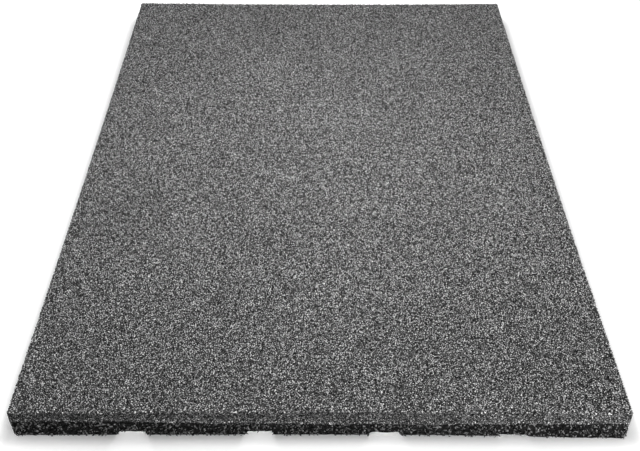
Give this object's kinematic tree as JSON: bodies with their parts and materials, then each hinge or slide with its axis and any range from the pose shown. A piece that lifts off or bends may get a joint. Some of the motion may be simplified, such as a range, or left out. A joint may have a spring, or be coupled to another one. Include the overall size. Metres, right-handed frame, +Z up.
{
  "type": "playground safety mat",
  "caption": "Flat oblong safety mat of bound rubber crumb, fine and level on top, coarser below, with straight drainage channels along the underside.",
  "frame": {"origin": "centre of the underside, at the level that the mat lies on", "axes": "+X along the short front edge to the right, +Y along the long edges away from the viewer, +Z up out of the wear face"},
  "size_m": [0.5, 0.75, 0.03],
  "materials": {
    "rubber_crumb": "matte, granular, dark grey with lighter flecks"
  },
  "bodies": {
    "root": {"rubber_mat": "rubber_crumb"}
  },
  "joints": []
}
